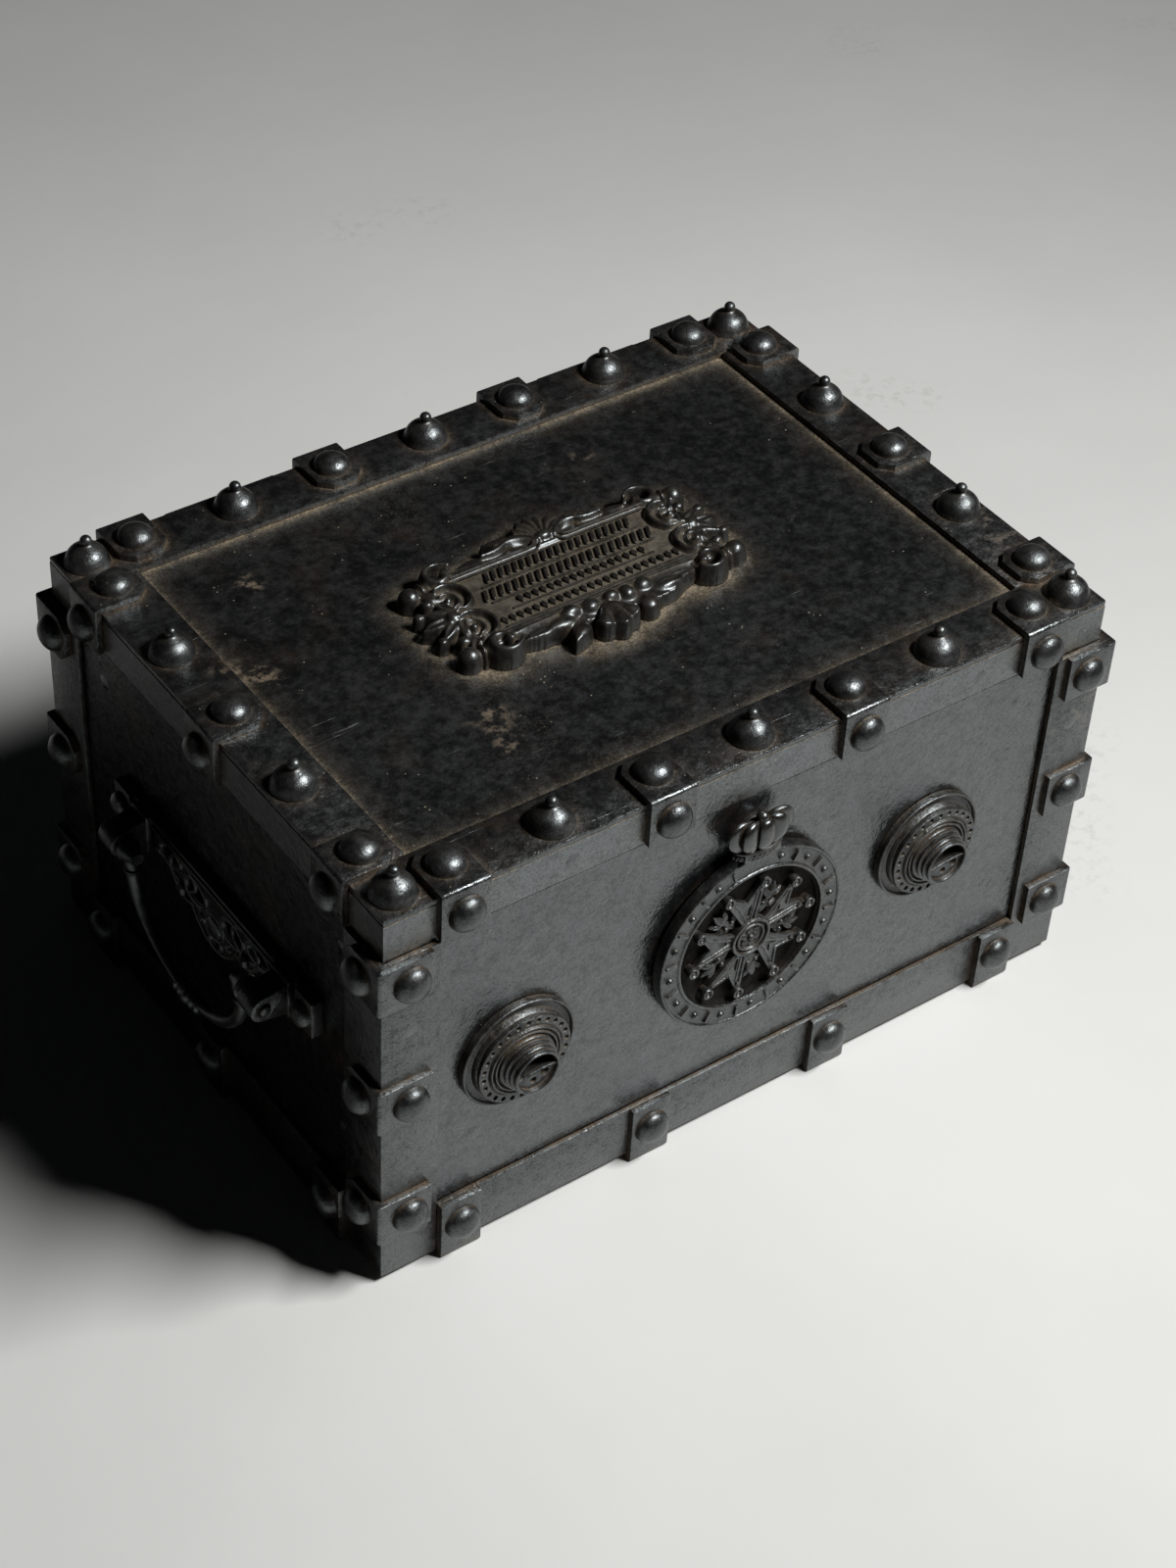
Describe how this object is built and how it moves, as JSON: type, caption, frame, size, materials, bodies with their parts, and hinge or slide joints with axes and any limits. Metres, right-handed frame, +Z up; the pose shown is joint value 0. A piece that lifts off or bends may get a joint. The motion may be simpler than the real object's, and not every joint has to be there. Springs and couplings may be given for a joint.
{
  "type": "iron strongbox",
  "caption": "Riveted iron strongbox with a hinged lid, dial knobs, a swinging medallion over the keyhole, a lock bolt and a bail handle on each side.",
  "frame": {"origin": "bottom centre of the whole object's bounding box, on the surface that it stands on", "axes": "+X along the width, to the right as seen from the front; +Y from the front with the dials to the back with the hinges; +Z up"},
  "size_m": [0.4526, 0.321, 0.241],
  "materials": {
    "panel_iron": "blackened sheet iron, hammered, with a blue-grey sheen and rust freckles",
    "frame_iron": "blackened bar iron with worn bright edges and polished rivet heads",
    "ornament_iron": "blackened cast iron with ochre dust in the hollows",
    "lock_steel": "filed and oiled steel",
    "lock_brass": "aged brass",
    "lining": "brown lacquered sheet",
    "plaster": "matt, slightly rough plaster"
  },
  "bodies": {
    "case": {"bottom_plate": "frame_iron", "front_plate": "panel_iron", "back_plate": "panel_iron", "left_plate": "panel_iron", "right_plate": "panel_iron", "corner_angle_front_left": "frame_iron", "corner_angle_front_right": "frame_iron", "corner_angle_back_left": "frame_iron", "corner_angle_back_right": "frame_iron", "bottom_bar_front": "frame_iron", "bottom_bar_right": "frame_iron", "bottom_bar_back": "frame_iron", "bottom_bar_left": "frame_iron", "inner_box": "lining", "fireproof_filling": "plaster", "lock_case": "lock_steel", "keyhole_escutcheon": "lock_brass", "left_hinge_body_leaf": "frame_iron", "right_hinge_body_leaf": "frame_iron", "left_hinge_pin": "frame_iron", "right_hinge_pin": "frame_iron", "left_rosette": "ornament_iron", "right_rosette": "ornament_iron", "medallion_pivot": "lock_steel", "left_handle_strap": "ornament_iron", "left_lug_front": "ornament_iron", "left_lug_rear": "ornament_iron", "right_handle_strap": "ornament_iron", "right_lug_front": "ornament_iron", "right_lug_rear": "ornament_iron"},
    "lid": {"lid_shell": "panel_iron", "lid_bar_front": "frame_iron", "lid_bar_right": "frame_iron", "lid_bar_back": "frame_iron", "lid_bar_left": "frame_iron", "lid_filling": "plaster", "lid_inner_plate": "lining", "left_staple": "lock_steel", "right_staple": "lock_steel", "cartouche": "ornament_iron", "left_hinge_lid_leaf": "frame_iron", "right_hinge_lid_leaf": "frame_iron"},
    "left_knob": {"left_dial": "ornament_iron", "left_grip": "ornament_iron", "left_spindle": "lock_steel", "left_wheel": "lock_brass"},
    "right_knob": {"right_dial": "ornament_iron", "right_grip": "ornament_iron", "right_spindle": "lock_steel", "right_wheel": "lock_brass"},
    "keyhole_cover": {"medallion_ring": "ornament_iron", "medallion_star": "ornament_iron", "medallion_bulb": "ornament_iron"},
    "left_bail": {"left_bail": "ornament_iron"},
    "right_bail": {"right_bail": "ornament_iron"},
    "lock_bolt": {"lock_bolt": "lock_steel"}
  },
  "joints": [
    {"name": "lid_hinge", "type": "hinge", "parent": "case", "child": "lid", "pos_m": [0, 0.15355, 0.2035], "axis": [-1, 0, 0], "range_deg": [0, 95]},
    {"name": "left_knob_spin", "type": "hinge", "parent": "case", "child": "left_knob", "pos_m": [-0.131, -0.15, 0.1125], "axis": [0, -1, 0], "continuous": true},
    {"name": "right_knob_spin", "type": "hinge", "parent": "case", "child": "right_knob", "pos_m": [0.104, -0.15, 0.1205], "axis": [0, -1, 0], "continuous": true},
    {"name": "keyhole_cover_swing", "type": "hinge", "parent": "case", "child": "keyhole_cover", "pos_m": [-0.005, -0.1445, 0.1845], "axis": [0, 1, 0], "range_deg": [-24, 49]},
    {"name": "left_bail_swing", "type": "hinge", "parent": "case", "child": "left_bail", "pos_m": [-0.2193, -0.00505, 0.1275], "axis": [0, 1, 0], "range_deg": [-12, 192]},
    {"name": "right_bail_swing", "type": "hinge", "parent": "case", "child": "right_bail", "pos_m": [0.2193, -0.00505, 0.1275], "axis": [0, -1, 0], "range_deg": [-12, 192]},
    {"name": "bolt_slide", "type": "slide", "parent": "case", "child": "lock_bolt", "axis": [1, 0, 0], "range_m": [0, 0.014]}
  ]
}
